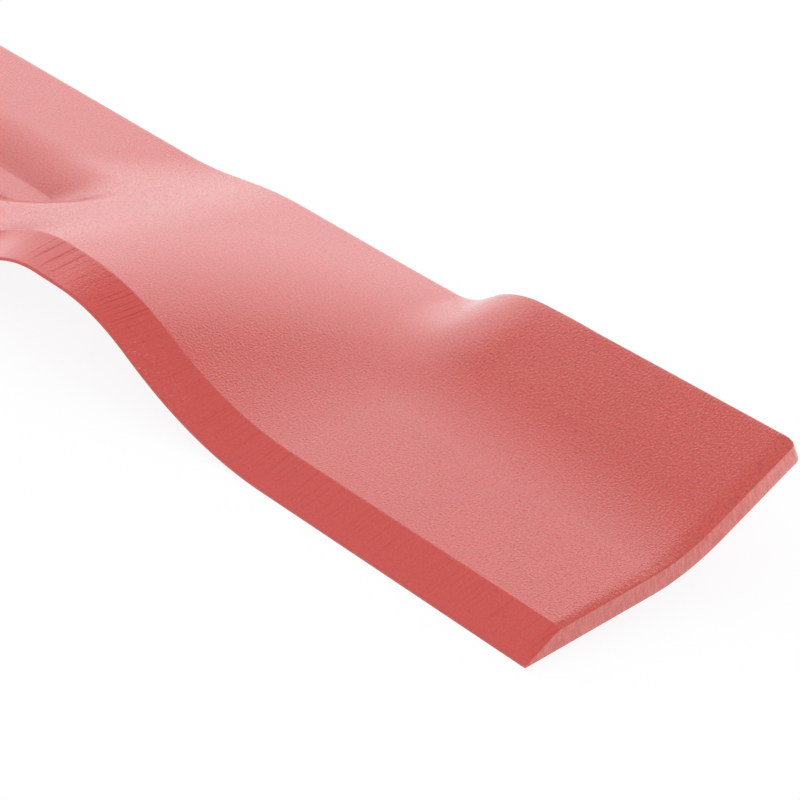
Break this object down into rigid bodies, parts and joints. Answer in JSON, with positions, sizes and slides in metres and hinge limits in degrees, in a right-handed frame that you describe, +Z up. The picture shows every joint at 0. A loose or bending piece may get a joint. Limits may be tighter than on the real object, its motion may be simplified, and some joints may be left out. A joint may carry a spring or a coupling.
{
  "type": "rotary mower blade",
  "caption": "Press-formed steel rotary mower blade: flat hub with centre bore, raised inner arms with stiffening grooves, bevelled cutting edges and upturned lift wings at the tips.",
  "frame": {"origin": "on the axis of the centre bore, at the underside of the hub", "axes": "+X along the bar to the arm seen in the picture, -Y to that arm's cutting edge, +Z up along the bore axis, to the side the wings stand on"},
  "size_m": [0.533, 0.0646, 0.0228],
  "materials": {
    "red_powder_coat": "semi-gloss powder coat with fine orange peel"
  },
  "bodies": {
    "root": {"blade": "red_powder_coat"}
  },
  "joints": []
}
